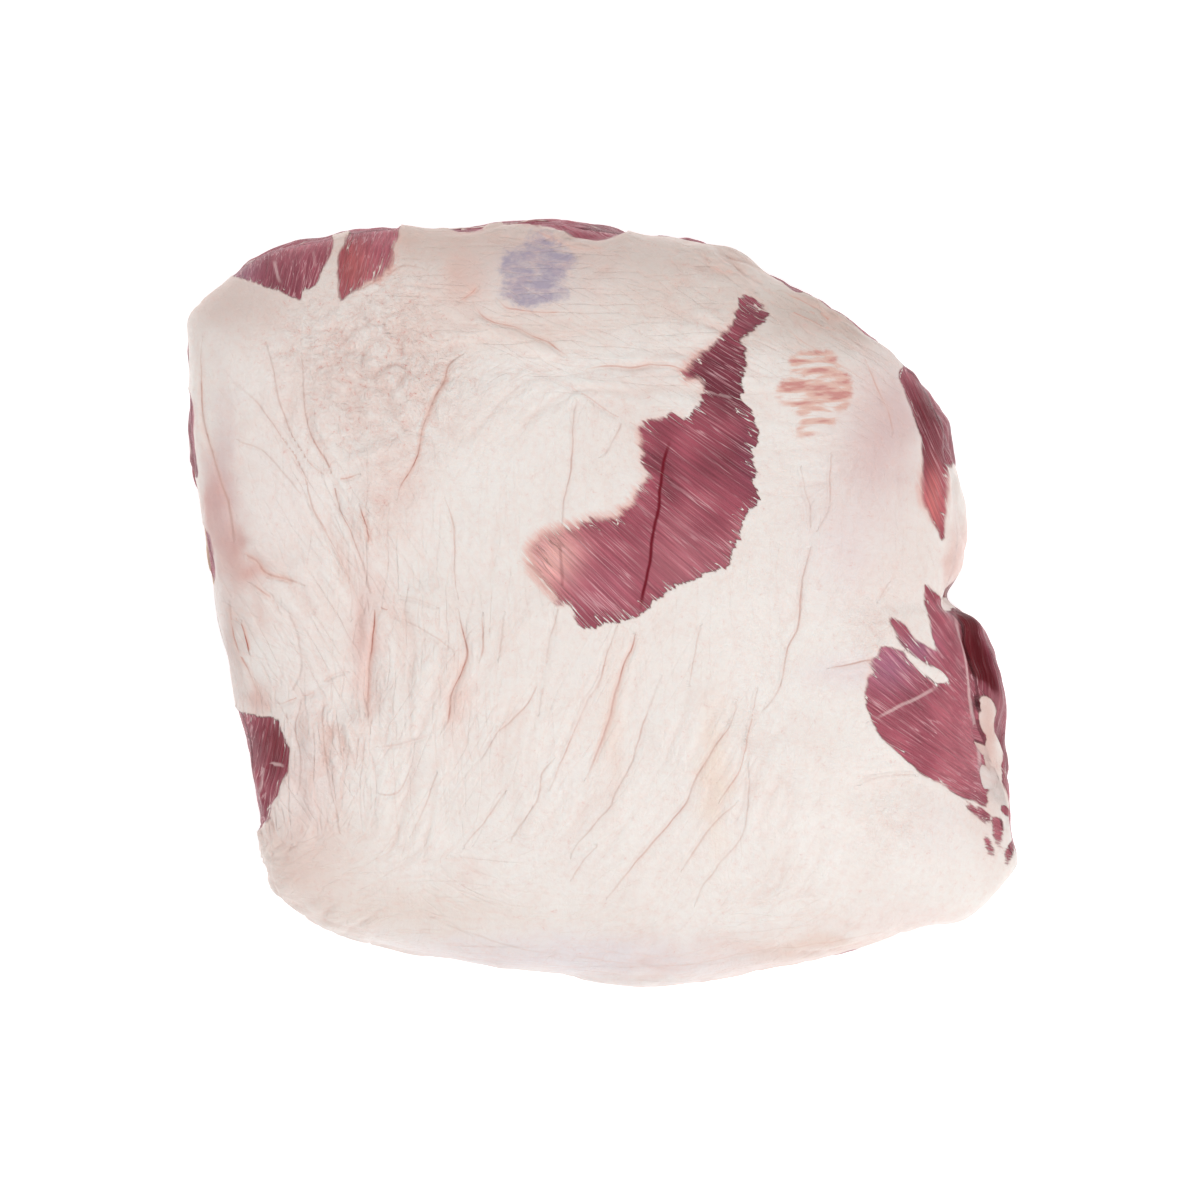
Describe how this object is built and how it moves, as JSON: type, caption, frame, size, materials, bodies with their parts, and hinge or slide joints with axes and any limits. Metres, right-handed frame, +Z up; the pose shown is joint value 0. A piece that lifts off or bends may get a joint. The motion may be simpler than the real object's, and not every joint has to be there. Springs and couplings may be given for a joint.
{
  "type": "bone-in pork butt",
  "caption": "Raw bone-in pork shoulder butt, fat side up: a blocky cut of lean with a fat cap that leaves lean bare in places, and the sawn blade bone on its left face.",
  "frame": {"origin": "middle of the underside's box, on the surface the meat rests on", "axes": "+Z up through the fat cap; +X along the length, away from the face with the sawn bone; +Y to the back, the top edge of the picture"},
  "size_m": [0.2648, 0.244, 0.0965],
  "materials": {
    "fat": "moist, soft sheen",
    "lean": "moist, soft sheen",
    "bone": "sawn, matt"
  },
  "bodies": {
    "root": {"fat_cap": "fat", "lean_meat": "lean", "blade_bone": "bone"}
  },
  "joints": []
}
